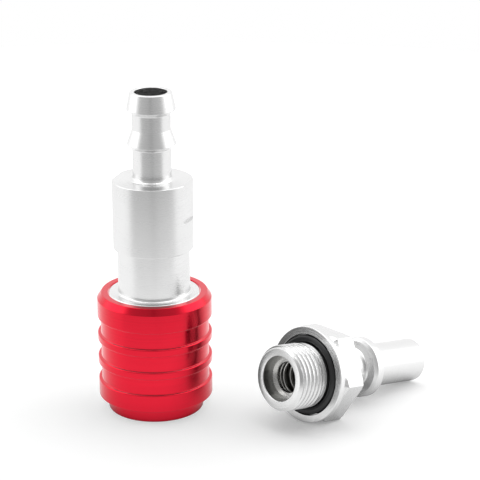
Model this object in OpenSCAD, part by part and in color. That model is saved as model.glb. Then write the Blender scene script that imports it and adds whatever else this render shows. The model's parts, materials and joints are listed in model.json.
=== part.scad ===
// Liquid cooling quick coupling, shown uncoupled: a socket half that stands on its mouth
// and a plug half that lies beside it. Both are flat-faced and shut themselves off.
// The origin is on the socket's axis, at its mouth, on the surface that both halves rest on.
// Socket pieces are drawn up from z = 0. Plug pieces are drawn along their own +Z, from the
// thread's face at 0 to the nose's face, and plug_place() lays them down.

/* [Hose tail] */
// Bore through the hose tail
hose_bore_d = 7.5; // [6:0.1:8]
// Tail between the barbs
tail_d = 9.7; // [9.2:0.1:10]
// Crest of each barb
barb_d = 12.3; // [11.4:0.1:13.6]
// Small end of the first barb
tip_d = 10.6; // [9.8:0.1:11.2]
// Collar to tip
tail_len = 22.5; // [20:0.5:28]
// Crest to crest
barb_pitch = 8.9; // [6.5:0.1:9.5]
// Length of a barb's lead-in cone
barb_lead = 3.7; // [2.5:0.1:4.5]
// Length of a barb's holding cone
barb_back = 1; // [0.6:0.1:1.5]
// Fillet where the tail meets the collar
tail_fillet = 1; // [0.4:0.1:1.4]

/* [Wrench collar] */
// Collar of the hose tail
collar_d = 20.4; // [20:0.1:23]
// Length of the collar
collar_len = 17.8; // [16.8:0.1:22]
// Across the two wrench flats
collar_af = 19; // [18.4:0.1:19.8]
// Length of the flats, from the tail's end of the collar
flat_len = 9.9; // [6:0.1:11]
// Direction that the first flat faces
flat_turn = -18; // [-90:1:90]

/* [Socket body] */
// Cylinder that the sleeve slides on
guide_d = 20.6; // [20.2:0.1:21]
// Shoulder that the sleeve's spring pushes against
shoulder_d = 22.9; // [22.4:0.1:23]
// Thickness of the shoulder
shoulder_len = 2.6; // [1.6:0.1:3.6]
// Neck between the shoulder and the collar
neck_d = 18.3; // [17.8:0.1:19.6]
// Length of the neck
neck_len = 11.9; // [10:0.1:16]
// Fillet at the foot of the neck
neck_fillet = 0.6; // [0.2:0.1:1]
// Spigot that the hose tail screws onto
spigot_d = 17; // [16.6:0.1:17.2]
// Length of the spigot
spigot_len = 7.6; // [6.5:0.1:9]
// Bore that the valve sleeve's flange slides in
valve_chamber_d = 13.2; // [12.8:0.1:13.6]

/* [Sleeve] */
// Outer diameter of the sleeve's bands
sleeve_d = 29.2; // [29:0.1:31]
// Bottom of the finger grooves
finger_groove_d = 27.6; // [27:0.1:28.2]
// Foot of the sleeve
foot_d = 27.2; // [26.6:0.1:28]
// Length of the foot
foot_len = 3.65; // [3:0.05:5]
// Band above the foot
low_band_len = 4.55; // [3:0.05:6]
// Length of a finger groove
finger_groove_len = 4.3; // [3.8:0.05:5]
// Ridge between two finger grooves
ridge_len = 1.9; // [1.2:0.05:3]
// Number of finger grooves
finger_grooves = 3; // [3:1:4]
// Band above the top groove
high_band_len = 4.8; // [3.5:0.05:6]
// Height of the bevel at the top
bevel_len = 1.6; // [1:0.1:2.2]
// Width of the bevel at the top
bevel_w = 1.1; // [0.6:0.1:1.6]
// Travel of the sleeve, pulled back to let go of the plug
sleeve_travel = 5.2; // [4.6:0.1:5.8]

/* [Lock] */
// Locking balls
ball_d = 3.2; // [3:0.1:3.3]
// Number of balls
ball_count = 8; // [6:1:10]
// Height of the balls' ring above the mouth
ball_z = 7; // [6.8:0.1:7.8]
// Wire of the ring that holds the sleeve on
stop_wire_d = 1.2; // [1:0.1:1.3]
// Height of that ring
stop_z = 3.3; // [3:0.1:3.5]

/* [Valves] */
// Smooth bore that each valve's seal closes
seal_bore_d = 7.1; // [6.8:0.1:7.3]
// Shaft of the fixed stem
stem_d = 3.8; // [3.2:0.1:4.2]
// Shaft of the plug's poppet
poppet_shaft_d = 3.2; // [2.8:0.1:3.6]
// Head of the stem and of the poppet, from face to cone
head_len = 2.6; // [2.4:0.1:3]
// Smooth bore's length at each valve's face
land_len = 2.3; // [2.2:0.1:2.8]
// How far each valve is pushed open when the halves are coupled
valve_open = 6; // [5.4:0.1:6]
// Thickness of the valve sleeve's flange, which its spring pushes on
valve_flange_len = 1.9; // [1.2:0.1:2.4]
// Thickness of the poppet's flange, which its spring pushes on
poppet_flange_len = 1.2; // [1:0.1:1.6]

/* [Plug] */
// Outside of the port thread, G 3/8
thread_d = 16.662; // [16.6:0.001:16.7]
// Thread's face to the end of the full thread
thread_len = 7.3; // [6:0.1:9]
// Bore at the thread's face
port_bore_d = 11.3; // [11:0.1:11.6]
// Undercut behind the thread
undercut_d = 14.8; // [14:0.1:15.4]
// Length of the undercut
undercut_len = 1.4; // [1:0.1:2]
// Round flange that clamps the port seal
flange_d = 24.5; // [24:0.1:26]
// Thickness of the flange
flange_t = 1.6; // [1.4:0.1:3]
// Across the hexagon's flats
hex_af = 22; // [21:0.5:22]
// Length of the hexagon
hex_len = 6.7; // [6:0.1:10]
// Neck that the balls drop round
ball_neck_d = 10; // [9.8:0.1:10.4]
// Length of that neck, hexagon to the locking collar's face
ball_neck_len = 9.2; // [8.8:0.1:12]
// Locking collar
lock_d = 15.6; // [15.4:0.1:15.7]
// Height of the collar's sloping locking face
lock_rise = 1.2; // [0.8:0.1:1.6]
// Length of the collar's rim
lock_len = 2.3; // [1.8:0.1:3]
// Nose, which is also the outside of the socket's valve sleeve
nose_d = 11.2; // [11.1:0.1:11.3]
// Length of the nose, from the locking collar to its face
nose_len = 18.6; // [18:0.1:19.6]
// Round edge of the nose
nose_edge = 0.6; // [0.3:0.1:1]

/* [Port seal] */
// Section of the seal in the flange
port_seal_d = 1.9; // [1.6:0.1:2]
// Seat that the seal goes round
port_seat_d = 16.4; // [16:0.1:16.6]

/* [Springs] */
// Wire of the sleeve's spring
sleeve_wire = 1; // [0.8:0.1:1.1]
// Turns of the sleeve's spring
sleeve_turns = 8; // [5:0.5:9]
// Wire of the valve sleeve's spring
valve_wire = 1; // [0.8:0.1:1.1]
// Turns of the valve sleeve's spring
valve_turns = 7.5; // [5:0.5:8]
// Wire of the poppet's spring
poppet_wire = 0.8; // [0.6:0.1:0.8]
// Turns of the poppet's spring
poppet_turns = 5.5; // [4:0.5:5.5]

/* [Resting places] */
// Centre of the plug's thread face, to the right of the socket's axis
plug_x = 31.4; // [30:0.1:60]
// Centre of the plug's thread face, behind the socket's axis
plug_y = -16.6; // [-40:0.1:-10]
// Direction that the plug's nose points, seen from above
plug_turn = 42.8; // [0:0.1:60]

/* [Fits] */
// Radial clearance of a sliding fit
run_gap = 0.08; // [0.05:0.01:0.1]
// Radial clearance of a fixed joint
set_gap = 0.03; // [0.02:0.01:0.05]
// Clearance of a seal from the surface that it seals
seal_gap = 0.02; // [0.02:0.01:0.04]
// Play between a moving piece and its stop
stop_gap = 0.2; // [0.1:0.05:0.25]
// Clearance of the locking collar in the socket's mouth
mouth_gap = 0.15; // [0.1:0.05:0.3]
// Small edge break
edge = 0.25; // [0.1:0.05:0.4]

/* [Hidden] */
$fn = 96;
eps = 0.01;
coil_steps = 24;
wire_sides = 8;

// Radii that several pieces share
guide_r = guide_d / 2;
land_r = guide_r + run_gap;
nose_r = nose_d / 2;
nose_bore_r = nose_r + run_gap;
seal_bore_r = seal_bore_d / 2;
head_r = seal_bore_r - run_gap - seal_gap;
mouth_r = lock_d / 2 + mouth_gap;
relief_r = mouth_r + ball_d + mouth_gap;
spring_bore_r = shoulder_d / 2 + 0.35;
chamber_r = valve_chamber_d / 2;

// Sleeve, from its foot up
sleeve_z = stop_gap;
fingers_len = finger_grooves * finger_groove_len + (finger_grooves - 1) * ridge_len;
low_band_z = sleeve_z + foot_len;
fingers_z = low_band_z + low_band_len;
high_band_z = fingers_z + fingers_len;
bevel_z = high_band_z + high_band_len;
sleeve_top = bevel_z + bevel_len;

// Stop ring and the ramp that rests on it
stop_r = guide_r + stop_wire_d / 6;
ramp_z = stop_r + stop_z + sqrt(2) * (stop_wire_d / 2 + stop_gap) - relief_r;
land_z = ramp_z + relief_r - land_r;
land_top = ball_z + 0.75 * ball_d;

// Socket body, from the mouth up
shoulder_top = sleeve_top;
shoulder_z = shoulder_top - shoulder_len;
collar_z = shoulder_top + neck_len;
spigot_top = collar_z + spigot_len;
tail_z = collar_z + collar_len;
tip_z = tail_z + tail_len;
ball_r = land_r - set_gap - ball_d / 2;

// Plug, from the thread's face to the nose's
seat_s = thread_len + undercut_len;
flange_s = seat_s + 1;
hex_s = flange_s + flange_t;
neck_s = hex_s + hex_len;
lock_s = neck_s + ball_neck_len;
rim_s = lock_s + lock_rise;
nose_s = rim_s + lock_len;
face_s = nose_s + nose_len;

// Coupled, the balls bear on the edge of the locking face and set where the nose ends
ball_reach = sqrt(pow(ball_d / 2, 2) - pow(ball_r - lock_d / 2, 2));
coupled_shift = rim_s - ball_z - ball_reach;
valve_z = face_s - coupled_shift - valve_open;
mouth_len = nose_s - coupled_shift + 1.6;

// Seals in grooves
nose_seal_depth = 1.6;
nose_seal_z = valve_z + 1.3;
head_seal_depth = 1;
head_groove_len = 1.3;
adapter_seal_depth = 0.8;
adapter_seal_z = collar_z + 1.2;
groove_room = 1.5;

// Valve sleeve and its step in the body
valve_step_z = valve_z + 7.8;
valve_flange_z = valve_step_z + stop_gap;
valve_waist_r = nose_r - 0.9;
valve_spring_z = valve_flange_z + valve_flange_len;
spider_len = 2;
spider_z = spigot_top;
spider_r = spigot_d / 2 - set_gap;
tenon_r = stem_d / 2 - 0.4;
nut_len = 2.4;
nut_af = 5.5;

// Plug's inside
washer_s = 3.5;
washer_len = 0.9;
circlip_len = 0.8;
poppet_step_s = neck_s - 1.3;
poppet_flange_s = poppet_step_s - stop_gap - poppet_flange_len;
poppet_bore_r = port_bore_d / 2 - 0.55;
neck_bore_r = ball_neck_d / 2 - 1.1;
nose_chamber_r = nose_r - 1;
nose_chamber_s = nose_s + 2.3;
spring_wash_r = poppet_bore_r - 0.7;

// Rest of the plug on the surface: on its nose and on its flange or hexagon, whichever is lower
nose_arc_s = face_s - nose_edge;
nose_arc_r = nose_r - nose_edge;
function lean(s, r) = acos(nose_edge / norm([nose_arc_s - s, r - nose_arc_r]))
    - atan2(nose_arc_s - s, r - nose_arc_r);
plug_tilt = max(lean(hex_s - edge, flange_d / 2), lean(neck_s, hex_af / 2));
plug_z = nose_edge + nose_arc_s * sin(plug_tilt) + nose_arc_r * cos(plug_tilt);

steel = "#d9dadc";
dull_steel = "#b9bcc0";
red = "#dc1f3a";
rubber = "#17181a";

// Points of a round corner, from angle a0 to a1
function arc(x, y, r, a0, a1, n = 8) =
    [for (i = [0:n]) [x + r * cos(a0 + (a1 - a0) * i / n), y + r * sin(a0 + (a1 - a0) * i / n)]];

// A turned piece from its half section
module turned(points) {
    rotate_extrude() polygon(points);
}

// A plain ring or bush
module ring(outer_r, inner_r, z0, z1) {
    turned([[inner_r, z0], [outer_r, z0], [outer_r, z1], [inner_r, z1]]);
}

// A round seal between two radii, with its centre at height z
module o_ring(inner_r, outer_r, z) {
    color(rubber) translate([0, 0, z]) rotate_extrude()
        translate([(inner_r + outer_r) / 2, 0]) circle(d = outer_r - inner_r, $fn = 32);
}

// Height of a spring's wire after t turns: a closed turn at each end and open turns between
function coil_z(t, turns, wire, len) =
    let (closed = 1.06 * wire, open = (len - wire - 2 * closed) / (turns - 2))
    wire / 2 + (t < 1 ? t * closed : t > turns - 1 ? len - wire - (turns - t) * closed
        : closed + (t - 1) * open);

// A compression spring that stands on z = 0
module coil_spring(mean_r, wire, turns, len) {
    steps = coil_steps * turns;
    rings = [for (i = [0:steps], k = [0:wire_sides - 1])
        let (a = 360 * i / coil_steps, b = 360 * (k + 0.5) / wire_sides,
             r = mean_r + wire / 2 * cos(b))
        [r * cos(a), r * sin(a), coil_z(i / coil_steps, turns, wire, len) + wire / 2 * sin(b)]];
    sides = [for (i = [0:steps - 1], k = [0:wire_sides - 1])
        let (k1 = (k + 1) % wire_sides, j = i * wire_sides, j1 = j + wire_sides)
        [j + k, j1 + k, j1 + k1, j + k1]];
    last = steps * wire_sides;
    polyhedron(rings, concat(sides, [[for (k = [0:wire_sides - 1]) k]],
        [[for (k = [wire_sides - 1:-1:0]) last + k]]));
}

// Lays a plug piece down where the plug rests, with a flat of its hexagon underneath
module plug_place() {
    translate([plug_x, plug_y, plug_z]) rotate([0, 0, plug_turn])
        rotate([0, 90 + plug_tilt, 0]) children();
}

// Half section of the hose tail, from the collar's face to the tip's bore
function tail_points() = let (crest1 = tip_z - barb_lead - 0.5, crest2 = crest1 - barb_pitch)
    concat(
        arc(tail_d / 2 + tail_fillet, tail_z + tail_fillet, tail_fillet, 270, 180),
        [[tail_d / 2, crest2 - barb_back - 0.2], [barb_d / 2, crest2 - 0.2],
         [barb_d / 2, crest2], [tail_d / 2, crest2 + barb_lead],
         [tail_d / 2, crest1 - barb_back - 0.2], [barb_d / 2, crest1 - 0.2],
         [barb_d / 2, crest1], [tip_d / 2, tip_z - edge / 2],
         [tip_d / 2 - edge / 2, tip_z], [hose_bore_d / 2 + 0.4, tip_z],
         [hose_bore_d / 2, tip_z - 0.8]]);

// Hose tail with its wrench collar, screwed onto the socket body's spigot
module barb_adapter() {
    bore_r = spigot_d / 2 + set_gap;
    seat_z = spider_z + spider_len;
    color(steel) difference() {
        turned(concat(
            [[bore_r, collar_z], [collar_d / 2 - edge, collar_z],
             [collar_d / 2, collar_z + edge], [collar_d / 2, tail_z - edge],
             [collar_d / 2 - edge, tail_z]],
            tail_points(),
            [[hose_bore_d / 2, seat_z + 6], [chamber_r + 0.6, seat_z + 2.2],
             [chamber_r + 0.6, seat_z], [bore_r, seat_z]]));
        for (side = [0, 180]) rotate([0, 0, flat_turn + side])
            translate([collar_af / 2, -collar_d / 2, tail_z - flat_len])
                cube([collar_d, collar_d, flat_len + 1]);
    }
}

// Seal between the hose tail and the spigot
module adapter_seal() {
    o_ring(spigot_d / 2 + set_gap - adapter_seal_depth - seal_gap, spigot_d / 2 + set_gap - seal_gap,
        adapter_seal_z);
}

// Socket body: mouth, ball holes, guide for the sleeve, shoulder, neck and spigot in one piece
module socket_body() {
    ball_hole_r = ball_d / 2 + run_gap;
    ball_throat_r = sqrt(pow(ball_d / 2, 2) - pow(ball_r - mouth_r, 2)) + run_gap;
    color(steel) difference() {
        turned(concat(
            [[mouth_r + 0.7, 0], [guide_r - 0.5, 0], [guide_r, 0.5], [guide_r, shoulder_z],
             [shoulder_d / 2, shoulder_z], [shoulder_d / 2, shoulder_top - edge],
             [shoulder_d / 2 - edge, shoulder_top]],
            arc(neck_d / 2 + neck_fillet, shoulder_top + neck_fillet, neck_fillet, 270, 180),
            [[neck_d / 2, collar_z], [spigot_d / 2, collar_z], [spigot_d / 2, spigot_top],
             [chamber_r, spigot_top], [chamber_r, valve_step_z], [nose_bore_r, valve_step_z],
             [nose_bore_r, mouth_len + 0.6], [nose_bore_r + 0.6, mouth_len], [mouth_r, mouth_len],
             [mouth_r, 0.7]]));
        ring(nose_r + nose_seal_depth, nose_r, nose_seal_z, nose_seal_z + nose_seal_depth + 0.4);
        ring(spigot_d, spigot_d / 2 + set_gap - adapter_seal_depth - 2 * seal_gap,
            adapter_seal_z - adapter_seal_depth * groove_room / 2,
            adapter_seal_z + adapter_seal_depth * groove_room / 2);
        translate([0, 0, stop_z]) rotate_extrude()
            translate([stop_r, 0]) circle(r = stop_wire_d / 2 + set_gap, $fn = 32);
        for (i = [0:ball_count - 1]) rotate([0, 0, (i + 0.5) * 360 / ball_count])
            translate([0, 0, ball_z]) rotate([0, 90, 0]) {
                translate([0, 0, ball_r]) cylinder(r = ball_hole_r, h = guide_r, $fn = 48);
                translate([0, 0, mouth_r - 0.4]) cylinder(r = ball_throat_r, h = 0.6, $fn = 48);
                translate([0, 0, mouth_r])
                    cylinder(r1 = ball_throat_r, r2 = ball_hole_r, h = ball_r - mouth_r + eps, $fn = 48);
            }
    }
}

// Half section of the sleeve's outside, from the foot up, one finger groove after another
function sleeve_outside() = concat(
    [[foot_d / 2 - edge, sleeve_z], [foot_d / 2, sleeve_z + edge], [foot_d / 2, low_band_z]],
    [for (i = [0:finger_grooves])
        let (z0 = i == 0 ? low_band_z : fingers_z + i * (finger_groove_len + ridge_len) - ridge_len,
             z1 = i == 0 ? fingers_z : i == finger_grooves ? bevel_z : z0 + ridge_len,
             break0 = edge / 2, break1 = i == finger_grooves ? 0 : edge / 2)
        each concat(
            [[sleeve_d / 2 - break0, z0], [sleeve_d / 2, z0 + break0], [sleeve_d / 2, z1 - break1]],
            i == finger_grooves ? [] : [[sleeve_d / 2 - break1, z1], [finger_groove_d / 2, z1],
                [finger_groove_d / 2, z1 + finger_groove_len]])],
    [[sleeve_d / 2 - bevel_w, sleeve_top]]);

// Locking sleeve: its land holds the balls in, and its relief lets them out when it is pulled back
module locking_sleeve() {
    color(red) turned(concat(
        [[relief_r + 0.5, sleeve_z]],
        sleeve_outside(),
        [[spring_bore_r, sleeve_top], [spring_bore_r, land_top], [land_r, land_top],
         [land_r, land_z], [relief_r, ramp_z], [relief_r, sleeve_z + 0.5]]));
}

// Spring that pushes the sleeve towards the mouth
module sleeve_spring() {
    color(dull_steel) translate([0, 0, land_top])
        coil_spring((guide_r + spring_bore_r) / 2, sleeve_wire, sleeve_turns, shoulder_z - land_top);
}

// Open wire ring that keeps the sleeve on
module sleeve_stop_ring() {
    color(dull_steel) translate([0, 0, stop_z]) rotate([0, 0, 100]) rotate_extrude(angle = 335)
        translate([stop_r, 0]) circle(d = stop_wire_d, $fn = 32);
}

// Balls in their holes, held in by the sleeve's land
module locking_balls() {
    color(dull_steel) for (i = [0:ball_count - 1]) rotate([0, 0, (i + 0.5) * 360 / ball_count])
        translate([ball_r, 0, ball_z]) sphere(d = ball_d, $fn = 48);
}

// Seal that closes on the valve sleeve, or on the plug's nose when coupled
module nose_seal() {
    o_ring(nose_r + seal_gap, nose_r + nose_seal_depth - seal_gap,
        nose_seal_z + nose_seal_depth / 2 + 0.2);
}

// Valve sleeve, which the plug's nose pushes back along the fixed stem
module valve_sleeve() {
    color(steel) turned([
        [seal_bore_r, valve_z], [nose_r - edge, valve_z], [nose_r, valve_z + edge],
        [nose_r, valve_flange_z], [chamber_r - run_gap, valve_flange_z],
        [chamber_r - run_gap, valve_spring_z], [valve_waist_r, valve_spring_z],
        [valve_waist_r, valve_z + land_len + valve_waist_r - seal_bore_r],
        [seal_bore_r, valve_z + land_len]]);
}

// Spring behind the valve sleeve
module valve_spring() {
    color(dull_steel) translate([0, 0, valve_spring_z])
        coil_spring((valve_waist_r + chamber_r) / 2 - run_gap, valve_wire, valve_turns,
            spider_z - valve_spring_z);
}

// Half section of a flat valve head with its seal groove: face at 0, cone down to the shaft
function head_points(shaft_r) = let (mid = head_len / 2, half = head_groove_len / 2,
        root_r = seal_bore_r - 2 * seal_gap - head_seal_depth)
    [[0, 0], [head_r - edge / 2, 0], [head_r, edge / 2], [head_r, mid - half], [root_r, mid - half],
     [root_r, mid + half], [head_r, mid + half], [head_r, head_len],
     [shaft_r, head_len + head_r - shaft_r]];

// Seal in the groove of a valve head whose face is at z = 0
module head_seal() {
    o_ring(seal_bore_r - seal_gap - head_seal_depth, seal_bore_r - seal_gap, head_len / 2);
}

// Fixed stem, whose flat head closes the valve sleeve
module valve_stem() {
    end_len = spider_len + nut_len + 0.5;
    color(steel) translate([0, 0, valve_z]) turned(concat(
        head_points(stem_d / 2),
        [[stem_d / 2, spider_z - valve_z], [tenon_r, spider_z - valve_z],
         [tenon_r, spider_z - valve_z + end_len - 0.4],
         [tenon_r - 0.4, spider_z - valve_z + end_len], [0, spider_z - valve_z + end_len]]));
}

// Seal on the stem's head
module stem_seal() {
    translate([0, 0, valve_z]) head_seal();
}

// Spoked disc that carries the stem, clamped between the spigot and the hose tail
module stem_spider() {
    hub_r = stem_d / 2 + 0.7;
    window_r = (valve_waist_r + chamber_r) / 2 - valve_wire / 2 - 0.1;
    color(dull_steel) translate([0, 0, spider_z]) difference() {
        cylinder(r = spider_r, h = spider_len);
        translate([0, 0, -1]) cylinder(r = tenon_r + set_gap, h = spider_len + 2, $fn = 48);
        difference() {
            ring(window_r, hub_r, -1, spider_len + 1);
            for (i = [0:2]) rotate([0, 0, 120 * i + 30])
                translate([0, -0.9, -2]) cube([window_r + 1, 1.8, spider_len + 4]);
        }
    }
}

// Nut that draws the stem's shoulder against the spider
module stem_nut() {
    color(dull_steel) translate([0, 0, spider_z + spider_len]) difference() {
        cylinder(d = nut_af / cos(30), h = nut_len, $fn = 6);
        translate([0, 0, -1]) cylinder(r = tenon_r + set_gap, h = nut_len + 2, $fn = 48);
    }
}

// Outside of the plug body without its hexagon, and its bore, as one half section
function plug_points() = let (lead = 0.9, rim = edge / 2, throat = nose_chamber_r - seal_bore_r)
    concat(
        [[port_bore_d / 2 + edge, 0], [thread_d / 2 - lead, 0], [thread_d / 2, lead],
         [thread_d / 2, thread_len], [undercut_d / 2, thread_len + (thread_d - undercut_d) / 2],
         [undercut_d / 2, seat_s], [port_seat_d / 2, seat_s],
         [port_seat_d / 2, flange_s + 1.4], [port_seat_d / 2 + port_seal_d + 0.25, flange_s + 1.4],
         [port_seat_d / 2 + port_seal_d + 0.25, flange_s],
         [flange_d / 2 - edge, flange_s], [flange_d / 2, flange_s + edge],
         [flange_d / 2, hex_s - edge], [flange_d / 2 - edge, hex_s],
         [ball_neck_d / 2 + 1, hex_s], [ball_neck_d / 2 + 1, neck_s]],
        arc(ball_neck_d / 2 + 0.6, neck_s + 0.6, 0.6, 270, 180),
        arc(ball_neck_d / 2 + 0.6, lock_s - 0.6, 0.6, 180, 90),
        [[lock_d / 2 - 0.9, lock_s + lock_rise / 2], [lock_d / 2 - rim, rim_s],
         [lock_d / 2, rim_s + rim], [lock_d / 2, nose_s - edge], [lock_d / 2 - edge, nose_s],
         [nose_r, nose_s]],
        arc(nose_arc_r, nose_arc_s, nose_edge, 0, 90),
        [[seal_bore_r, face_s], [seal_bore_r, face_s - land_len],
         [nose_chamber_r, face_s - land_len - throat],
         [nose_chamber_r, nose_chamber_s], [neck_bore_r, nose_chamber_s - nose_chamber_r + neck_bore_r],
         [neck_bore_r, poppet_step_s], [poppet_bore_r, poppet_step_s],
         [poppet_bore_r, washer_s + washer_len], [port_bore_d / 2, washer_s + washer_len],
         [port_bore_d / 2, edge]]);

// Plug body: port thread, flange, hexagon, neck, locking collar and nose in one piece
module plug_body() {
    hex_r = hex_af / 2 / cos(30);
    start_r = flange_d / 2 - 0.85;
    color(steel) plug_place() difference() {
        union() {
            turned(plug_points());
            difference() {
                intersection() {
                    translate([0, 0, hex_s - eps]) rotate([0, 0, 30])
                        cylinder(r = hex_r, h = hex_len + eps, $fn = 6);
                    turned([[0, hex_s - eps], [start_r, hex_s - eps], [hex_r, hex_s + hex_r - start_r],
                        [hex_r, neck_s - 0.3], [hex_r - 0.5, neck_s], [0, neck_s]]);
                }
                translate([0, 0, hex_s - 1]) cylinder(r = poppet_bore_r + 0.5, h = hex_len + 2);
            }
        }
        ring(port_bore_d / 2 + 0.45, port_bore_d / 2 - eps, washer_s - circlip_len - set_gap, washer_s);
    }
}

// Black seal in the flange, on the thread's side
module port_seal() {
    plug_place() o_ring(port_seat_d / 2 + seal_gap, port_seat_d / 2 + port_seal_d + seal_gap,
        flange_s + 1.4 - port_seal_d / 2);
}

// Poppet: flat head in the nose, long shaft, and a flange with flow holes that the spring pushes
module poppet() {
    shaft_r = poppet_shaft_d / 2;
    flange_end = face_s - poppet_flange_s;
    color(steel) plug_place() translate([0, 0, face_s]) mirror([0, 0, 1]) difference() {
        turned(concat(
            head_points(shaft_r),
            [[shaft_r, flange_end - poppet_flange_len], [poppet_bore_r - run_gap, flange_end - poppet_flange_len],
             [poppet_bore_r - run_gap, flange_end], [shaft_r, flange_end],
             [shaft_r, flange_end + 1], [0, flange_end + 1]]));
        for (i = [0:4]) rotate([0, 0, 72 * i])
            translate([(shaft_r + spring_wash_r) / 2, 0, flange_end - poppet_flange_len - 1])
                cylinder(d = spring_wash_r - shaft_r - 0.9, h = poppet_flange_len + 2, $fn = 32);
    }
}

// Seal on the poppet's head
module poppet_seal() {
    plug_place() translate([0, 0, face_s]) mirror([0, 0, 1]) head_seal();
}

// Spring that keeps the poppet shut
module poppet_spring() {
    start = washer_s + washer_len;
    color(dull_steel) plug_place() translate([0, 0, start])
        coil_spring(spring_wash_r, poppet_wire, poppet_turns, poppet_flange_s - start);
}

// Washer that the poppet's spring pushes against
module spring_washer() {
    color(steel) plug_place()
        ring(port_bore_d / 2 - set_gap, spring_wash_r - poppet_wire / 2, washer_s, washer_s + washer_len);
}

// Open circlip that holds the washer in
module washer_circlip() {
    outer_r = port_bore_d / 2 + 0.45 - set_gap;
    color(steel) plug_place() translate([0, 0, washer_s - circlip_len]) difference() {
        rotate([0, 0, 200]) rotate_extrude(angle = 325)
            translate([port_bore_d / 2 - 0.8, 0]) square([outer_r - port_bore_d / 2 + 0.8, circlip_len]);
    }
}

barb_adapter();
adapter_seal();
socket_body();
locking_sleeve();
sleeve_spring();
sleeve_stop_ring();
locking_balls();
nose_seal();
valve_sleeve();
valve_spring();
valve_stem();
stem_seal();
stem_spider();
stem_nut();
plug_body();
port_seal();
poppet();
poppet_seal();
poppet_spring();
spring_washer();
washer_circlip();
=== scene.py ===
"""Looks of an uncoupled liquid cooling quick coupling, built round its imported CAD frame."""

import json
import math

import bpy
from bpy.props import (
    FloatProperty,
    FloatVectorProperty,
    IntProperty,
    PointerProperty,
)
from bpy.types import Operator, Panel, PropertyGroup
from mathutils import Matrix, Vector


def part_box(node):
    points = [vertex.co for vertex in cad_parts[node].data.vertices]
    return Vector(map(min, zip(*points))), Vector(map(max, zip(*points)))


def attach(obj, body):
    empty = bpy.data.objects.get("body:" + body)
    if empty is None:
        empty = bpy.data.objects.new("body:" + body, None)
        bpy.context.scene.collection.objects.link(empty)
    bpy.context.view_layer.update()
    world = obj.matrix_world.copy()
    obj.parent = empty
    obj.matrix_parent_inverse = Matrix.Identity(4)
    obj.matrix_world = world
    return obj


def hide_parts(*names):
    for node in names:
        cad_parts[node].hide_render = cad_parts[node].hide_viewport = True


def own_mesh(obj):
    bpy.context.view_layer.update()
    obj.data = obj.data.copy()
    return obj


bl_info = {
    "name": "Quick Coupling",
    "version": (1, 0, 0),
    "blender": (4, 5, 0),
    "location": "3D View > Sidebar > Coupling",
    "description": "Builds the two halves of a flat-faced liquid cooling coupling",
    "category": "Object",
}

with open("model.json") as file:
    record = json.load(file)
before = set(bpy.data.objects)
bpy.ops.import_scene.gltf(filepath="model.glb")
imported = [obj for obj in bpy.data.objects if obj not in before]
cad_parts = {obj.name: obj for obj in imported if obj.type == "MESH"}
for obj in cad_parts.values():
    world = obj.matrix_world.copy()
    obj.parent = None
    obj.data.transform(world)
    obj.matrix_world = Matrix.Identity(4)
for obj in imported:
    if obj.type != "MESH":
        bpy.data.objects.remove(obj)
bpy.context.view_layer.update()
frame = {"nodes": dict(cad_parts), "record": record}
MM = 0.001
SIDES = 192
ARC_STEPS = 5


def linear(hex_colour):
    """Linear RGBA of an sRGB hex colour such as "C8102E"."""
    parts = [int(hex_colour[i:i + 2], 16) / 255 for i in (0, 2, 4)]
    return (*[c / 12.92 if c <= 0.04045 else ((c + 0.055) / 1.055) ** 2.4 for c in parts], 1.0)


def bottom(node):
    """Lowest height of a CAD node, in millimetres."""
    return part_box(node)[0].z / MM


def top(node):
    """Greatest height of a CAD node, in millimetres."""
    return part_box(node)[1].z / MM


def reach(node):
    """Greatest radius of a CAD node that is round about the socket's axis, in millimetres."""
    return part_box(node)[1].x / MM


def mount(name):
    """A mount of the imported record: its place and its direction."""
    found = next(m for m in frame["record"]["mounts"] if m["name"] == name)
    return Vector(found["pos_m"]), Vector(found["axis"]), found["dims"]


def plug_matrix():
    """Turns the plug's own frame, thread's face at 0 and nose along +Z, into the row's frame."""
    thread_at, _, thread_dims = mount("plug_thread")
    nose_way = mount("plug_nose")[1].normalized()
    start = thread_at - nose_way * (thread_dims["length_mm"] / 2 + THREAD_CHAMFER) * MM
    side = Vector((0, 0, 1)).cross(nose_way).normalized()
    up = side.cross(nose_way)
    turn = Matrix((up, side, nose_way)).transposed().to_4x4()
    return Matrix.Translation(start) @ turn


THREAD_CHAMFER = 0.9
WHITWORTH_DEPTH = 0.64
# Strength at which steel shows the floor and the room, above the light they shed: painted reflection.
PAINTED_REFLECTION_STRENGTH = 1.3


# ---------------------------------------------------------------------------------------------
# Sizes and colours that a user would change


class SocketSizes(PropertyGroup):
    edge: FloatProperty(name="Edge break", description="Rounding of turned edges, mm", default=0.22,
                        min=0.05, max=0.4)
    neck: FloatProperty(name="Neck", description="Neck's diameter, mm", default=18.3)
    bore: FloatProperty(name="Hose bore", description="Bore of the hose tail, mm", default=8.2)
    tail: FloatProperty(name="Tail", description="Hose tail between its barbs, mm", default=9.7)
    barb: FloatProperty(name="Barb", description="Crest of the barbs, mm", default=12.3)
    tip: FloatProperty(name="Tip", description="Small end of the first barb, mm", default=10.6)
    flats: FloatProperty(name="Flats", description="Across the wrench flats, mm", default=19.0)
    flats_turn: FloatProperty(name="Flats' direction", description="Direction that a flat faces",
                              default=math.radians(-18), subtype="ANGLE")
    groove: FloatProperty(name="Finger groove", description="Diameter of the grooves, mm", default=27.6)
    foot: FloatProperty(name="Foot", description="Diameter of the sleeve's foot, mm", default=24.4)
    grooves: IntProperty(name="Grooves", description="Number of finger grooves", default=3, min=1, max=5)


class PlugSizes(PropertyGroup):
    pitch: FloatProperty(name="Pitch", description="Pitch of the port thread, mm", default=1.337)
    hexagon: FloatProperty(name="Hexagon", description="Across its flats, mm", default=22.0)
    flange: FloatProperty(name="Flange", description="Diameter of the flange, mm", default=24.5)
    corner: FloatProperty(name="Hexagon's corner", description="Rounding of its corners, mm", default=0.35)


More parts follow.
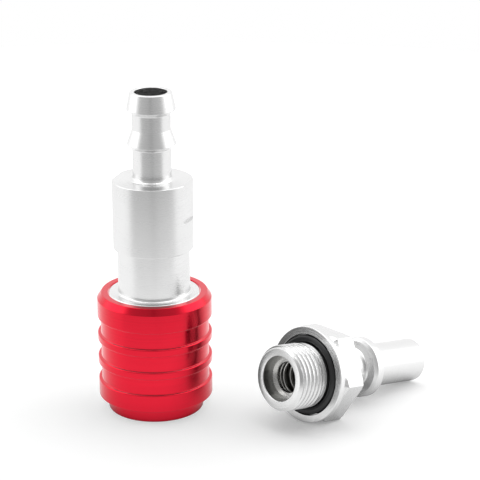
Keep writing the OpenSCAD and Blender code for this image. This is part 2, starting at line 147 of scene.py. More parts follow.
class Finishes(PropertyGroup):
    steel: FloatVectorProperty(name="Stainless steel", description="Colour of the turned steel", size=4,
                               subtype="COLOR", min=0, max=1, default=linear("DDDDDD"))
    red: FloatVectorProperty(name="Red anodising", description="Colour of the sleeve", size=4,
                             subtype="COLOR", min=0, max=1, default=linear("D8112D"))
    rubber: FloatVectorProperty(name="EPDM rubber", description="Colour of the seals", size=4,
                                subtype="COLOR", min=0, max=1, default=linear("0D0E10"))


# ---------------------------------------------------------------------------------------------
# Mesh code


def rounded(outline):
    """Outline points (radius, height, rounding) of a closed loop with each corner turned to an arc."""
    points = []
    count = len(outline)
    for i, (r, z, size) in enumerate(outline):
        here = Vector((r, z))
        before = Vector(outline[i - 1][:2]) - here
        after = Vector(outline[(i + 1) % count][:2]) - here
        if size <= 0 or before.length < 1e-6 or after.length < 1e-6:
            points.append((r, z))
            continue
        half = before.angle(after) / 2
        cut = min(size / math.tan(half), before.length * 0.48, after.length * 0.48)
        radius = cut * math.tan(half)
        centre = here + (before.normalized() + after.normalized()).normalized() * radius / math.sin(half)
        start = here + before.normalized() * cut - centre
        turn = start.angle_signed(here + after.normalized() * cut - centre)
        for k in range(ARC_STEPS + 1):
            arm = start.copy()
            arm.rotate(Matrix.Rotation(-turn * k / ARC_STEPS, 2))
            points.append(tuple(centre + arm))
    return points


def polygon_reach(angle, sides, half, corner):
    """Distance from the axis to a regular polygon's wall with rounded corners, in that direction."""
    step = 2 * math.pi / sides
    off_face = (angle + step / 2) % step - step / 2
    off_corner = step / 2 - abs(off_face)
    centre = (half - corner) / math.cos(step / 2)
    if centre * math.cos(step / 2 - off_corner) * math.tan(abs(off_face)) < centre * math.sin(step / 2):
        wall = half / math.cos(off_face)
        if wall * math.sin(abs(off_face)) <= centre * math.sin(step / 2):
            return wall
    inside = corner ** 2 - (centre * math.sin(off_corner)) ** 2
    return centre * math.cos(off_corner) + math.sqrt(max(inside, 0))


def turned(name, outline, section=None, angles=None, matrix=None):
    """A turned solid from a closed outline. section(radius, height, angle) can change a radius."""
    angles = angles or [2 * math.pi * k / SIDES for k in range(SIDES)]
    place = matrix or Matrix.Identity(4)
    path = [0.0]
    for a, b in zip(outline, outline[1:] + outline[:1]):
        path.append(path[-1] + math.dist(a, b))
    verts = []
    for r, z in outline:
        for a in angles:
            reach_here = section(r, z, a) if section else r
            verts.append(place @ Vector((reach_here * math.cos(a), reach_here * math.sin(a), z)) * 1.0)
    count = len(angles)
    rows = len(outline)
    faces = []
    uvs = []
    for i in range(rows):
        j = (i + 1) % rows
        for k in range(count):
            m = (k + 1) % count
            faces.append((i * count + k, i * count + m, j * count + m, j * count + k))
            u0 = k / count
            u1 = (k + 1) / count
            uvs += [(u0, path[i]), (u1, path[i]), (u1, path[i + 1]), (u0, path[i + 1])]
    return mesh_object(name, verts, faces, uvs)


def mesh_object(name, verts, faces, uvs=None):
    """A smooth-shaded mesh whose big faces keep their own direction, with its UVs in millimetres."""
    mesh = bpy.data.meshes.new(name)
    mesh.from_pydata([tuple(v) for v in verts], [], faces)
    if uvs:
        layer = mesh.uv_layers.new(name="turning")
        layer.data.foreach_set("uv", [c for uv in uvs for c in uv])
    mesh.shade_smooth()
    mesh.set_sharp_from_angle(angle=math.radians(35))
    made = bpy.data.objects.new(name, mesh)
    bpy.context.scene.collection.objects.link(made)
    weigh = made.modifiers.new("weighted normals", "WEIGHTED_NORMAL")
    weigh.keep_sharp = True
    weigh.weight = 80
    return made


def in_metres(matrix=None):
    """The matrix that takes millimetres in a piece's own frame to metres in the row's frame."""
    return (matrix or Matrix.Identity(4)) @ Matrix.Scale(MM, 4)


def fit_out(piece, body, nodes, material):
    """Puts a finished piece on its body in place of its CAD nodes."""
    piece.data.materials.append(material)
    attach(piece, body)
    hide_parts(*nodes)
    return piece


def finish_node(node, material):
    """Gives a CAD node that is shown as it is its material."""
    data = frame["nodes"][node].data
    data.materials.clear()
    data.materials.append(material)
    data.shade_smooth()
    data.set_sharp_from_angle(angle=math.radians(30))


def coil(name, radius, wire, turns, length, matrix):
    """A compression spring with closed ends, as a tube along its helix."""
    steps, around = 48, 14
    closed = 1.06 * wire
    pitch = (length - wire - 2 * closed) / (turns - 2)
    verts, faces, uvs = [], [], []
    total = int(steps * turns)
    for i in range(total + 1):
        t = i / steps
        if t < 1:
            z = t * closed
        elif t > turns - 1:
            z = length - wire - (turns - t) * closed
        else:
            z = closed + (t - 1) * pitch
        a = 2 * math.pi * t
        for k in range(around):
            b = 2 * math.pi * k / around
            r = radius + wire / 2 * math.cos(b)
            verts.append(matrix @ Vector((r * math.cos(a), r * math.sin(a),
                                          z + wire / 2 + wire / 2 * math.sin(b))))
    for i in range(total):
        for k in range(around):
            m = (k + 1) % around
            faces.append((i * around + k, (i + 1) * around + k, (i + 1) * around + m, i * around + m))
            step = 2 * math.pi * radius / steps
            uvs += [(k / around, i * step), (k / around, (i + 1) * step),
                    ((k + 1) / around, (i + 1) * step), ((k + 1) / around, i * step)]
    faces.append(tuple(range(around)))
    faces.append(tuple(total * around + k for k in reversed(range(around))))
    uvs += [(0.5, 0.0)] * (2 * around)
    return mesh_object(name, verts, faces, uvs)


# ---------------------------------------------------------------------------------------------
# Materials


def add_node(tree, kind, inputs=None, **settings):
    """Adds a node with its settings, and fills its inputs with values or links."""
    node = tree.nodes.new(kind)
    for key, value in settings.items():
        setattr(node, key, value)
    for key, value in (inputs or {}).items():
        if isinstance(value, bpy.types.NodeSocket):
            tree.links.new(value, node.inputs[key])
        else:
            node.inputs[key].default_value = value
    return node


def new_material(name):
    """An empty node material, or the one made before under that name."""
    material = bpy.data.materials.get(name) or bpy.data.materials.new(name)
    material.use_nodes = True
    material.node_tree.nodes.clear()
    return material


def turning_marks(tree, per_mm):
    """Noise that changes along a turned outline and hardly round it, as a tool's feed leaves it."""
    uv = add_node(tree, "ShaderNodeUVMap", uv_map="turning")
    lines = add_node(tree, "ShaderNodeMapping", {"Vector": uv.outputs["UV"], "Scale": (1.5, per_mm, 1.0)})
    return add_node(tree, "ShaderNodeTexNoise", {"Vector": lines.outputs["Vector"], "Scale": 1.0,
                                                 "Detail": 3.0, "Roughness": 0.6},
                    noise_dimensions="2D").outputs["Fac"]


def turned_stainless_steel(finishes):
    """Fine-turned stainless steel 303: bright, nearly neutral, with tool marks round the axis."""
    material = new_material("turned_stainless_steel")
    tree = material.node_tree
    # Feed marks of about 0.1 mm are too fine to show, so they are drawn 0.4 mm apart.
    marks = turning_marks(tree, 3.0)
    place = add_node(tree, "ShaderNodeTexCoord")
    # Slow differences in polish over about 6 mm.
    haze = add_node(tree, "ShaderNodeTexNoise", {"Vector": place.outputs["Object"], "Scale": 160.0,
                                                 "Detail": 4.0, "Roughness": 0.55})
    rough = add_node(tree, "ShaderNodeMapRange", {"Value": marks, "From Min": 0.3, "From Max": 0.7,
                                                  "To Min": 0.2, "To Max": 0.25})
    rough_all = add_node(tree, "ShaderNodeMath", {0: haze.outputs["Fac"], 1: 0.06,
                                                  2: rough.outputs["Result"]}, operation="MULTIPLY_ADD")
    tone = add_node(tree, "ShaderNodeMix", {"Factor": haze.outputs["Fac"],
                                            6: finishes.steel, 7: linear("D6D6D6")}, data_type="RGBA")
    dents = add_node(tree, "ShaderNodeBump", {"Height": marks, "Strength": 0.03, "Distance": 0.00001})
    tangent = add_node(tree, "ShaderNodeTangent", direction_type="UV_MAP", uv_map="turning")
    shader = add_node(tree, "ShaderNodeBsdfPrincipled", {
        "Base Color": tone.outputs[2], "Metallic": 1.0, "Roughness": rough_all.outputs["Value"],
        "Anisotropic": 0.7, "Tangent": tangent.outputs["Tangent"], "Normal": dents.outputs["Normal"]})
    add_node(tree, "ShaderNodeOutputMaterial", {"Surface": shader.outputs["BSDF"]})
    return material


def plain_stainless_steel(finishes):
    """Stainless steel of the small inner pieces: a little duller, with no tool marks to follow."""
    material = new_material("plain_stainless_steel")
    tree = material.node_tree
    place = add_node(tree, "ShaderNodeTexCoord")
    haze = add_node(tree, "ShaderNodeTexNoise", {"Vector": place.outputs["Object"], "Scale": 900.0,
                                                 "Detail": 3.0})
    rough = add_node(tree, "ShaderNodeMapRange", {"Value": haze.outputs["Fac"], "To Min": 0.2, "To Max": 0.34})
    tone = add_node(tree, "ShaderNodeMix", {"Factor": haze.outputs["Fac"], 6: linear("D4D3D0"),
                                            7: finishes.steel}, data_type="RGBA")
    shader = add_node(tree, "ShaderNodeBsdfPrincipled", {
        "Base Color": tone.outputs[2], "Metallic": 1.0, "Roughness": rough.outputs["Result"]})
    add_node(tree, "ShaderNodeOutputMaterial", {"Surface": shader.outputs["BSDF"]})
    return material


def bore_steel_painted_shade(finishes):
    """Drilled and bored stainless steel inside the plug: rougher than the outside, and painted dark grey for
    the shade deep inside the bore.
    """
    material = new_material("bore_steel_painted_shade")
    tree = material.node_tree
    # The drill's feed of about 0.1 mm is too fine to show, so its rings are drawn 0.4 mm apart.
    marks = turning_marks(tree, 2.5)
    rough = add_node(tree, "ShaderNodeMapRange", {"Value": marks, "To Min": 0.28, "To Max": 0.42})
    # Painted shade: these dark greys stand in for the shade inside the bore.
    tone = add_node(tree, "ShaderNodeMix", {"Factor": marks, 6: linear("747472"), 7: linear("8E8E8B")},
                    data_type="RGBA")
    shader = add_node(tree, "ShaderNodeBsdfPrincipled", {
        "Base Color": tone.outputs[2], "Metallic": 1.0, "Roughness": rough.outputs["Result"]})
    add_node(tree, "ShaderNodeOutputMaterial", {"Surface": shader.outputs["BSDF"]})
    return material


def stainless_spring_wire(finishes):
    """Drawn stainless spring wire: greyer, with draw marks along the wire."""
    material = new_material("stainless_spring_wire")
    tree = material.node_tree
    uv = add_node(tree, "ShaderNodeUVMap", uv_map="turning")
    along = add_node(tree, "ShaderNodeMapping", {"Vector": uv.outputs["UV"], "Scale": (22.0, 0.4, 1.0)})
    drawn = add_node(tree, "ShaderNodeTexNoise", {"Vector": along.outputs["Vector"], "Scale": 1.0,
                                                  "Detail": 2.0}, noise_dimensions="2D")
    rough = add_node(tree, "ShaderNodeMapRange", {"Value": drawn.outputs["Fac"], "To Min": 0.18,
                                                  "To Max": 0.36})
    tone = add_node(tree, "ShaderNodeMix", {"Factor": drawn.outputs["Fac"], 6: linear("B9B8B5"),
                                            7: linear("D2D1CE")}, data_type="RGBA")
    shader = add_node(tree, "ShaderNodeBsdfPrincipled", {
        "Base Color": tone.outputs[2], "Metallic": 1.0, "Roughness": rough.outputs["Result"]})
    add_node(tree, "ShaderNodeOutputMaterial", {"Surface": shader.outputs["BSDF"]})
    return material


def red_anodised_aluminium(finishes):
    """Bright-dipped aluminium with a clear, dyed oxide skin: a metal's red under a clear gloss."""
    material = new_material("red_anodised_aluminium")
    tree = material.node_tree
    marks = turning_marks(tree, 2.2)
    rough = add_node(tree, "ShaderNodeMapRange", {"Value": marks, "From Min": 0.3, "From Max": 0.7,
                                                  "To Min": 0.2, "To Max": 0.26})
    deep = tuple(c * 0.86 for c in finishes.red[:3]) + (1.0,)
    tone = add_node(tree, "ShaderNodeMix", {"Factor": marks, 6: finishes.red, 7: deep}, data_type="RGBA")
    dents = add_node(tree, "ShaderNodeBump", {"Height": marks, "Strength": 0.1, "Distance": 0.00004})
    tangent = add_node(tree, "ShaderNodeTangent", direction_type="UV_MAP", uv_map="turning")
    shader = add_node(tree, "ShaderNodeBsdfPrincipled", {
        "Base Color": tone.outputs[2], "Metallic": 1.0, "Roughness": rough.outputs["Result"],
        "Anisotropic": 0.3, "Tangent": tangent.outputs["Tangent"], "Normal": dents.outputs["Normal"],
        "Coat Weight": 0.2, "Coat Roughness": 0.12, "Coat IOR": 1.6})
    add_node(tree, "ShaderNodeOutputMaterial", {"Surface": shader.outputs["BSDF"]})
    return material


def moulded_epdm_rubber(finishes):
    """Moulded EPDM rubber: near black and satin, with a very fine skin."""
    material = new_material("moulded_epdm_rubber")
    tree = material.node_tree
    place = add_node(tree, "ShaderNodeTexCoord")
    # Mould skin of about 0.05 mm is too fine to show, so it is drawn at 0.25 mm.
    skin = add_node(tree, "ShaderNodeTexNoise", {"Vector": place.outputs["Object"], "Scale": 4000.0,
                                                 "Detail": 2.0})
    rough = add_node(tree, "ShaderNodeMapRange", {"Value": skin.outputs["Fac"], "To Min": 0.34,
                                                  "To Max": 0.5})
    tone = add_node(tree, "ShaderNodeMix", {"Factor": skin.outputs["Fac"], 6: finishes.rubber,
                                            7: linear("141517")}, data_type="RGBA")
    pits = add_node(tree, "ShaderNodeBump", {"Height": skin.outputs["Fac"], "Strength": 0.2,
                                             "Distance": 0.00003})
    shader = add_node(tree, "ShaderNodeBsdfPrincipled", {
        "Base Color": tone.outputs[2], "Roughness": rough.outputs["Result"], "IOR": 1.5,
        "Normal": pits.outputs["Normal"]})
    add_node(tree, "ShaderNodeOutputMaterial", {"Surface": shader.outputs["BSDF"]})
    return material


# ---------------------------------------------------------------------------------------------
# Operators, one for each piece or group of like pieces


class COUPLING_OT_hose_tail(Operator):
    """Builds the hose tail with its two barbs and its wrench collar"""

    bl_idname = "coupling.hose_tail"
    bl_label = "Hose tail"

    def execute(self, context):
        size = context.scene.coupling_socket
        finishes = context.scene.coupling_finishes
        edge = size.edge
        foot, tip = bottom("barb_adapter"), top("barb_adapter")
        collar = reach("barb_adapter")
        seat, spigot = top("stem_spider"), reach("stem_spider") + 0.06
        shoulder = tip - 22.5
        flat_from = shoulder - 9.9
        crest_1 = tip - 4.2
        crest_2 = crest_1 - 8.9
        tail, barb = size.tail / 2, size.barb / 2
        outline = rounded([
            (spigot, foot, 0.1), (collar, foot, edge), (collar, flat_from - 0.12, 0),
            (collar, flat_from - 0.04, 0), (collar, flat_from, 0), (collar, flat_from + 0.06, 0),
            (collar, shoulder, edge * 0.8), (tail, shoulder, 1.0),
            (tail, crest_2 - 1.2, 0.25), (barb, crest_2 - 0.2, 0.12), (barb, crest_2, 0.12),
            (tail, crest_2 + 3.7, 0.4),
            (tail, crest_1 - 1.2, 0.25), (barb, crest_1 - 0.2, 0.12), (barb, crest_1, 0.12),
            (size.tip / 2, tip, 0.2), (size.bore / 2, tip, 0.15),
            (size.bore / 2, seat + 6, 0.2), (7.2, seat + 2.2, 0.1), (7.2, seat, 0), (spigot, seat, 0)])
        half_turn = math.acos(size.flats / 2 / collar)
        angles = [2 * math.pi * k / SIDES for k in range(SIDES)]
        edges = [size.flats_turn + face + side * half_turn + nudge
                 for face in (0, math.pi) for side in (-1, 1) for nudge in (-0.012, 0, 0.012)]
        angles = sorted(set([a % (2 * math.pi) for a in angles + edges]))
        def section(r, z, angle):
            if z < flat_from - 0.02 or z > shoulder + 0.01 or r < size.flats / 2:
                return r
            off = (angle - size.flats_turn + math.pi / 2) % math.pi - math.pi / 2
            wall = size.flats / 2 / math.cos(off)
            return min(r, wall)

        piece = turned("hose_tail", outline, section, angles, in_metres())
        fit_out(piece, "housing", ["barb_adapter"], turned_stainless_steel(finishes))
        return {"FINISHED"}


class COUPLING_OT_socket_body(Operator):
    """Builds the socket's body: mouth, guide, silver shoulder and neck"""

    bl_idname = "coupling.socket_body"
    bl_label = "Socket body"

    def execute(self, context):
        size = context.scene.coupling_socket
        finishes = context.scene.coupling_finishes
        edge = size.edge
        collar = bottom("barb_adapter")
        shoulder_top, shoulder = top("locking_sleeve"), reach("socket_body")
        shoulder_foot = top("sleeve_spring")
        guide, mouth, nose = 10.3, 7.95, 5.68
        chamber, spigot = 6.6, reach("stem_spider")
        step, mouth_end = bottom("valve_sleeve") + 7.8, 12.19
        outline = rounded([
            (mouth, 0, 0.35), (guide, 0, 0.3), (guide, shoulder_foot, 0.1),
            (shoulder, shoulder_foot, 0.1), (shoulder, shoulder_top, edge),
            (size.neck / 2, shoulder_top, 0.6), (size.neck / 2, collar, edge), (spigot, collar, 0.05),
            (spigot, top("socket_body"), 0.1), (chamber, top("socket_body"), 0.1), (chamber, step, 0.05),
            (nose, step, 0.1), (nose, mouth_end, 0.4), (mouth, mouth_end, 0.2)])
        piece = turned("socket_shell", outline, matrix=in_metres())
        fit_out(piece, "housing", ["socket_body"], turned_stainless_steel(finishes))
        return {"FINISHED"}


class COUPLING_OT_sleeve(Operator):
    """Builds the pull-back sleeve with its finger grooves"""

    bl_idname = "coupling.sleeve"
    bl_label = "Locking sleeve"

    def execute(self, context):
        size = context.scene.coupling_socket
        finishes = context.scene.coupling_finishes
        foot, rim = bottom("locking_sleeve"), top("locking_sleeve")
        band, groove = reach("locking_sleeve"), size.groove / 2
        lip = 0.24
        points = [(11.5, foot, 0.25), (size.foot / 2, foot, 0.3), (size.foot / 2, foot + 3.65, 0.15)]
        z = foot + 3.65
        for i in range(size.grooves + 1):
            height = 4.55 if i == 0 else 1.9
            if i == size.grooves:
                break
            points += [(band, z, lip), (band, z + height, lip), (groove, z + height, 0.12),
                       (groove, z + height + 4.3, 0.12)]
            z += height + 4.3
        points += [(band, z, lip), (band, rim - 1.6, 0.2), (band - 1.1, rim, 0.18), (11.8, rim, 0.15),
                   (11.8, top("locking_balls") + 0.8, 0.1), (10.38, top("locking_balls") + 0.8, 0.1),
                   (10.38, 4.55, 0.1), (11.3, 3.63, 0.1)]
        piece = turned("pull_back_sleeve", rounded(points), matrix=in_metres())
        fit_out(piece, "sleeve", ["locking_sleeve"], red_anodised_aluminium(finishes))
        # The sleeve is kept out of reflections and bounced light; in steel a painted grey reflection stands in
        # for it.
        piece.visible_glossy = False
        piece.visible_diffuse = False
        return {"FINISHED"}


class COUPLING_OT_springs(Operator):
    """Builds the three springs as smooth wire"""

    bl_idname = "coupling.springs"
    bl_label = "Springs"

    def execute(self, context):
        wire = stainless_spring_wire(context.scene.coupling_finishes)
        plug = plug_matrix()
        upright = (0, 0, 1)
        specs = [
            ("sleeve_spring", 11.05, 1.0, 8, "sleeve_slide", upright, 5.2, in_metres()),
            ("valve_spring", 5.57, 1.0, 7.5, "valve_slide", upright, 6.0, in_metres()),
            ("poppet_spring", 4.4, 0.8, 5.5, "poppet_slide", plug.col[2].to_3d(), 6.0, None)]
        for node, radius, thick, turns, joint, axis, travel, matrix in specs:
            if matrix is None:
                start, length = 4.4, 10.9
                matrix = plug @ Matrix.Scale(MM, 4) @ Matrix.Translation((0, 0, start))
            else:
                start, length = bottom(node), top(node) - bottom(node)
                matrix = matrix @ Matrix.Translation((0, 0, start))
            piece = coil(node + "_wire", radius, thick, turns, length, matrix)
            fit_out(piece, "housing", [node], wire)
            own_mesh(piece)
        return {"FINISHED"}


class COUPLING_OT_plug(Operator):
    """Builds the plug's body: port thread, flange, hexagon, neck, locking collar and nose"""

    bl_idname = "coupling.plug"
    bl_label = "Plug body"

    def execute(self, context):
        size = context.scene.coupling_plug
        finishes = context.scene.coupling_finishes
        major = mount("plug_thread")[2]["r_mm"]
        root = major - WHITWORTH_DEPTH * size.pitch
        flange, half = size.flange / 2, size.hexagon / 2
        corner = half / math.cos(math.pi / 6)
        thread_end, seat, flange_from, hex_from, hex_to = 7.3, 8.7, 9.7, 11.3, 18.0
        lock, rim, nose_from, face = 27.2, 28.4, 30.7, 49.3
        outline = rounded([
            (5.65, 0, 0.25), (major - THREAD_CHAMFER, 0, 0.15), (major, THREAD_CHAMFER, 0.05),
            (major, thread_end, 0.02), (7.4, thread_end + 0.9, 0.2), (7.4, seat, 0.15),
            (8.2, seat, 0.05), (8.2, flange_from + 1.4, 0.05), (10.35, flange_from + 1.4, 0.05),
            (10.35, flange_from, 0.12), (flange, flange_from, 0.22), (flange, hex_from, 0.18),
            (corner - 1.3, hex_from, 0.02), (corner, hex_from + 1.3, 0.05),
            (corner, hex_to - 0.3, 0.05), (corner - 0.5, hex_to, 0.05), (5.0, hex_to, 0.6),
            (5.0, lock, 0.5), (6.9, lock + 0.6, 0.3), (7.8, rim, 0.15), (7.8, nose_from, 0.25),
            (5.6, nose_from, 0.12), (5.6, face, 0.6), (3.55, face, 0.1), (3.55, face - 2.3, 0.05),
            (4.6, face - 3.35, 0.05), (4.6, 33, 0.05), (3.9, 32.3, 0.05), (3.9, 16.7, 0.05),
            (5.1, 16.7, 0.05), (5.1, 4.4, 0.03), (5.65, 4.4, 0.03)])
        start = next(i for i, p in enumerate(outline) if p[1] > THREAD_CHAMFER * 0.5)
        end = next(i for i, p in enumerate(outline) if p[1] > thread_end - 0.05)
        rows = int((thread_end + 0.9) / size.pitch * 22)
        helix = [k * (thread_end + 0.9) / rows for k in range(1, rows)]
        before = outline[:start - 1]
        after = outline[end + 2:]

        def blank(z):
            if z < THREAD_CHAMFER:
                return major - THREAD_CHAMFER + z
            if z > thread_end:
                return major - (z - thread_end) * (major - 7.4) / 0.9
            return major

        outline = before + [(blank(z), z) for z in helix if z > before[-1][1]] + after
        hex_rows = (hex_from - 0.001, hex_to + 0.001)

        def section(r, z, angle):
            if z < thread_end + 0.9 and r > 6.6:
                phase = (z / size.pitch - angle / (2 * math.pi)) % 1.0
                wave = 0.5 - 0.5 * math.cos(2 * math.pi * phase)
                crest = min(1.0, 1.08 * wave ** 0.55)
                return min(r, root + (major - root) * crest)
            if hex_rows[0] < z < hex_rows[1] and r > 7 and not (r <= flange + 0.01 and z < hex_from + 0.0005):
                return min(r, polygon_reach(angle, 6, half, size.corner))
            return r

        refined = [k * math.pi / 3 + math.pi / 6 + nudge * math.radians(0.45)
                   for k in range(6) for nudge in range(-6, 7)]
        angles = [2 * math.pi * k / SIDES for k in range(SIDES)]
        angles = sorted(set([round(a % (2 * math.pi), 5) for a in angles + refined]))
        piece = turned("plug_shell", outline, section, angles, in_metres(plug_matrix()))
        fit_out(piece, "housing", ["plug_body"], turned_stainless_steel(finishes))
        # The bore's faces take a darker steel with painted shade.
        piece.data.materials.append(bore_steel_painted_shade(finishes))
        bore_row = next(i for i, p in enumerate(outline) if p[1] > face - 0.01 and p[0] < 3.8)
        for polygon in piece.data.polygons[bore_row * len(angles):]:
            polygon.material_index = 1
        return {"FINISHED"}


class COUPLING_OT_seals(Operator):
    """Finishes every seal in moulded rubber"""

    bl_idname = "coupling.seals"
    bl_label = "Seals"

    def execute(self, context):
        rubber = moulded_epdm_rubber(context.scene.coupling_finishes)
        for node in ("adapter_seal", "nose_seal", "stem_seal", "port_seal", "poppet_seal"):
            finish_node(node, rubber)
        return {"FINISHED"}


class COUPLING_OT_inner_pieces(Operator):
    """Finishes the valves and the small inner pieces in plain steel"""

    bl_idname = "coupling.inner_pieces"
    bl_label = "Inner pieces"

    def execute(self, context):
        steel = plain_stainless_steel(context.scene.coupling_finishes)
        for node in ("sleeve_stop_ring", "locking_balls", "valve_sleeve", "valve_stem", "stem_spider",
                     "stem_nut", "poppet", "spring_washer", "washer_circlip"):
            finish_node(node, steel)
        return {"FINISHED"}


class COUPLING_OT_stage(Operator):
    """Sets up the pale floor, the soft lamps, the room round them and the camera"""

    bl_idname = "coupling.stage"
    bl_label = "Stage"

    def execute(self, context):
        scene = context.scene
        self.add_floor()
        self.add_lamp("top_softbox", (0.05, 0.12, 0.62), (0.75, 0.75), 2.2)
        self.add_lamp("right_softbox", (0.62, 0.1, 0.3), (0.5, 0.6), 0.9)
        self.add_lamp("left_softbox", (-0.6, 0.05, 0.3), (0.5, 0.6), 0.75)
        self.add_painted_sleeve_reflection()
        self.add_room(scene)
        self.add_camera(scene)
        scene.view_settings.view_transform = "Standard"
        return {"FINISHED"}

    def add_floor(self):
        verts = [(0.4 * math.cos(a), 0.4 * math.sin(a), 0.0)
                 for a in [2 * math.pi * k / 96 for k in range(96)]]
        floor = mesh_object("floor", verts, [tuple(range(96))])
        material = new_material("white_paper")
        tree = material.node_tree
        place = add_node(tree, "ShaderNodeTexCoord")
        fibres = add_node(tree, "ShaderNodeTexNoise", {"Vector": place.outputs["Object"], "Scale": 900.0})
        tone = add_node(tree, "ShaderNodeMix", {"Factor": fibres.outputs["Fac"], 6: linear("EDEDED"),
                                                7: linear("F1F1F1")}, data_type="RGBA")
        paper = add_node(tree, "ShaderNodeBsdfDiffuse", {"Color": tone.outputs[2]})
        seen = self.seen_directly(tree)
        here = add_node(tree, "ShaderNodeVectorMath", {0: place.outputs["Object"], 1: (0.012, 0.0, 0.0)},
                        operation="SUBTRACT")
        away = add_node(tree, "ShaderNodeVectorMath", {0: here.outputs["Vector"]}, operation="LENGTH")
        # The paper's own glow hides its far edge, and is lower near the pieces, so that their shadow shows and
        # the paper round them is darker: painted shade.
        painted_shade_glow_ramp = add_node(tree, "ShaderNodeMapRange", {"Value": away.outputs["Value"], "From Min": 0.03,
                                                     "From Max": 0.15, "To Min": 0.23, "To Max": 0.5})
        strength = add_node(tree, "ShaderNodeMath", {0: seen, 1: painted_shade_glow_ramp.outputs["Result"]},
                            operation="MULTIPLY")
        glow = add_node(tree, "ShaderNodeEmission", {"Strength": strength.outputs["Value"]})
        both = add_node(tree, "ShaderNodeAddShader", {0: paper.outputs["BSDF"], 1: glow.outputs["Emission"]})
        # In polished steel the paper glows with a painted reflection: white near the pieces, running into the
        # room's greys with distance.
        far = add_node(tree, "ShaderNodeMapRange", {"Value": away.outputs["Value"], "From Min": 0.05,
                                                    "From Max": 0.22})
        painted_reflection_colour = add_node(tree, "ShaderNodeMix", {"Factor": far.outputs["Result"], 6: linear("FFFFFF"),
                                                 7: self.room_colours(tree, here.outputs["Vector"])},
                         data_type="RGBA")
        # Close to the pieces the paper as steel mirrors it is darkened by ambient occlusion: painted shade in
        # the reflection.
        painted_occlusion = add_node(tree, "ShaderNodeAmbientOcclusion", {"Distance": 0.03}, samples=8)
        painted_shade_strength = add_node(tree, "ShaderNodeMath", {0: painted_occlusion.outputs["AO"], 1: PAINTED_REFLECTION_STRENGTH},
                              operation="MULTIPLY")
        painted_floor_reflection = add_node(tree, "ShaderNodeEmission", {"Color": painted_reflection_colour.outputs[2],
                                                         "Strength": painted_shade_strength.outputs["Value"]})
        path = add_node(tree, "ShaderNodeLightPath")
        shown = add_node(tree, "ShaderNodeMixShader", {0: path.outputs["Is Glossy Ray"],
                                                       1: both.outputs["Shader"],
                                                       2: painted_floor_reflection.outputs["Emission"]})
        add_node(tree, "ShaderNodeOutputMaterial", {"Surface": shown.outputs["Shader"]})
        floor.data.materials.append(material)

    def room_colours(self, tree, way):
        """Colour of the room in a direction: grey in front, where the room is open, and white sides."""
        parts = add_node(tree, "ShaderNodeSeparateXYZ", {"Vector": way})
        front = add_node(tree, "ShaderNodeMath", {0: parts.outputs["Y"], 1: -1.0}, operation="MULTIPLY")
        turn = add_node(tree, "ShaderNodeMath", {0: parts.outputs["X"], 1: front.outputs["Value"]},
                        operation="ARCTAN2")
        place = add_node(tree, "ShaderNodeMapRange", {"Value": turn.outputs["Value"],
                                                      "From Min": -math.pi, "From Max": math.pi})
        ramp = add_node(tree, "ShaderNodeValToRGB", {"Fac": place.outputs["Result"]})
        stops = ramp.color_ramp.elements
        stops[0].position, stops[0].color = 0.0, linear("F4F4F4")
        stops[1].position, stops[1].color = 1.0, linear("F4F4F4")
        for degrees, colour in ((-110, "FFFFFF"), (-66, "FFFFFF"), (-61, "BABABA"), (-20, "B2B2B2"),
                                (-5, "AEAEAE"), (-2, "888888"), (2, "888888"), (5, "AEAEAE"),
                                (20, "B2B2B2"), (61, "BABABA"), (66, "FFFFFF"), (110, "FFFFFF")):
            stops.new(0.5 + degrees / 360).color = linear(colour)
        return ramp.outputs["Color"]

    def add_painted_sleeve_reflection(self):
        """A grey glowing cylinder round the sleeve that only polished steel shows: a painted reflection of the
        sleeve, without its red.
        """
        low, high = bottom("locking_sleeve"), top("locking_sleeve")
        out = reach("locking_sleeve") + 0.02
        ring = [2 * math.pi * k / SIDES for k in range(SIDES)]
        verts = [(out * MM * math.cos(a), out * MM * math.sin(a), z * MM) for z in (low, high) for a in ring]
        faces = [(k, (k + 1) % SIDES, SIDES + (k + 1) % SIDES, SIDES + k) for k in range(SIDES)]
        painted_reflection = mesh_object("painted_sleeve_reflection", verts, faces)
        material = new_material("painted_reflection_grey")
        tree = material.node_tree
        side = add_node(tree, "ShaderNodeNewGeometry")
        # Painted reflection: a flat grey glow in place of the sleeve as steel mirrors it.
        grey = add_node(tree, "ShaderNodeEmission", {"Color": linear("6E6E6E")})
        clear = add_node(tree, "ShaderNodeBsdfTransparent")
        both = add_node(tree, "ShaderNodeMixShader", {0: side.outputs["Backfacing"],
                                                      1: grey.outputs["Emission"],
                                                      2: clear.outputs["BSDF"]})
        add_node(tree, "ShaderNodeOutputMaterial", {"Surface": both.outputs["Shader"]})
        painted_reflection.data.materials.append(material)
        painted_reflection.visible_camera = False
        painted_reflection.visible_diffuse = False
        painted_reflection.visible_shadow = False
        painted_reflection.visible_transmission = False

    def seen_directly(self, tree):
        """1 for what the camera, a polished face or a clear one shows, and 0 for what lights."""
        path = add_node(tree, "ShaderNodeLightPath")
        two = add_node(tree, "ShaderNodeMath", {0: path.outputs["Is Camera Ray"],
                                                1: path.outputs["Is Glossy Ray"]}, operation="MAXIMUM")
        return add_node(tree, "ShaderNodeMath", {0: two.outputs["Value"],
                                                 1: path.outputs["Is Transmission Ray"]},
                        operation="MAXIMUM").outputs["Value"]

    def add_lamp(self, name, place, size, watts):
        lamp = bpy.data.lights.new(name, "AREA")
        lamp.shape = "RECTANGLE"
        lamp.size, lamp.size_y = size
        lamp.energy = watts
        holder = bpy.data.objects.new(name, lamp)
        holder.location = place
        holder.rotation_euler = (Vector((0.02, 0, 0.02)) - Vector(place)).to_track_quat("-Z", "Y").to_euler()
        holder.visible_camera = False
        bpy.context.scene.collection.objects.link(holder)

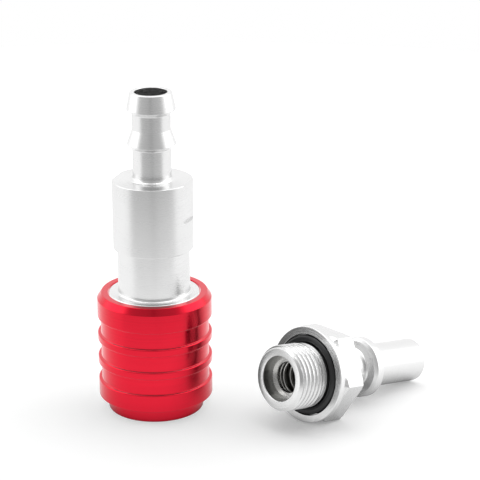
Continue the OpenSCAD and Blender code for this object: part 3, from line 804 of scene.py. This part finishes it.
    def add_room(self, scene):
        world = bpy.data.worlds.new("studio")
        scene.world = world
        world.use_nodes = True
        tree = world.node_tree
        tree.nodes.clear()
        way = add_node(tree, "ShaderNodeTexCoord")
        path = add_node(tree, "ShaderNodeLightPath")
        backdrop = add_node(tree, "ShaderNodeMix", {"Factor": path.outputs["Is Camera Ray"],
                                                    6: self.room_colours(tree, way.outputs["Generated"]),
                                                    7: (1, 1, 1, 1)},
                            data_type="RGBA")
        # Steel mirrors the room brighter than the light the room sheds on the pieces: painted reflection.
        lit_or_painted_reflection = add_node(tree, "ShaderNodeMapRange", {"Value": path.outputs["Is Glossy Ray"], "To Min": 0.55,
                                                    "To Max": PAINTED_REFLECTION_STRENGTH})
        strength = add_node(tree, "ShaderNodeMix", {"Factor": path.outputs["Is Camera Ray"],
                                                    2: lit_or_painted_reflection.outputs["Result"], 3: 1.0})
        light = add_node(tree, "ShaderNodeBackground", {"Color": backdrop.outputs[2],
                                                        "Strength": strength.outputs["Result"]})
        add_node(tree, "ShaderNodeOutputWorld", {"Surface": light.outputs["Background"]})

    def add_camera(self, scene):
        lens = bpy.data.cameras.new("camera")
        lens.sensor_width = 36
        lens.lens = 150
        lens.clip_start, lens.clip_end = 0.01, 10
        camera = bpy.data.objects.new("camera", lens)
        tilt = Matrix.Rotation(math.radians(90 - 19.124), 4, "X")
        roll = Matrix.Rotation(math.radians(-0.197), 4, "Z")
        camera.matrix_world = Matrix.Translation((0.02187, -0.47716, 0.21037)) @ tilt @ roll
        scene.collection.objects.link(camera)
        scene.camera = camera


STEPS = (COUPLING_OT_stage, COUPLING_OT_hose_tail, COUPLING_OT_socket_body, COUPLING_OT_sleeve,
         COUPLING_OT_plug, COUPLING_OT_springs, COUPLING_OT_seals, COUPLING_OT_inner_pieces)


class COUPLING_PT_panel(Panel):
    """Lists the coupling's pieces in the sidebar"""

    bl_idname = "COUPLING_PT_panel"
    bl_label = "Quick Coupling"
    bl_space_type = "VIEW_3D"
    bl_region_type = "UI"
    bl_category = "Coupling"

    def draw(self, context):
        for group in (context.scene.coupling_socket, context.scene.coupling_plug,
                      context.scene.coupling_finishes):
            box = self.layout.box()
            for name in group.bl_rna.properties.keys():
                if name not in ("rna_type", "name"):
                    box.prop(group, name)
        for step in STEPS:
            self.layout.operator(step.bl_idname)


GROUPS = {"coupling_socket": SocketSizes, "coupling_plug": PlugSizes, "coupling_finishes": Finishes}


def register():
    for group in (*GROUPS.values(), *STEPS, COUPLING_PT_panel):
        bpy.utils.register_class(group)
    for name, group in GROUPS.items():
        setattr(bpy.types.Scene, name, PointerProperty(type=group))


def unregister():
    for name in GROUPS:
        delattr(bpy.types.Scene, name)
    for group in reversed((*GROUPS.values(), *STEPS, COUPLING_PT_panel)):
        bpy.utils.unregister_class(group)


def main():
    register()
    for step in STEPS:
        family, name = step.bl_idname.split(".")
        getattr(getattr(bpy.ops, family), name)()


if __name__ == "__main__":
    main()
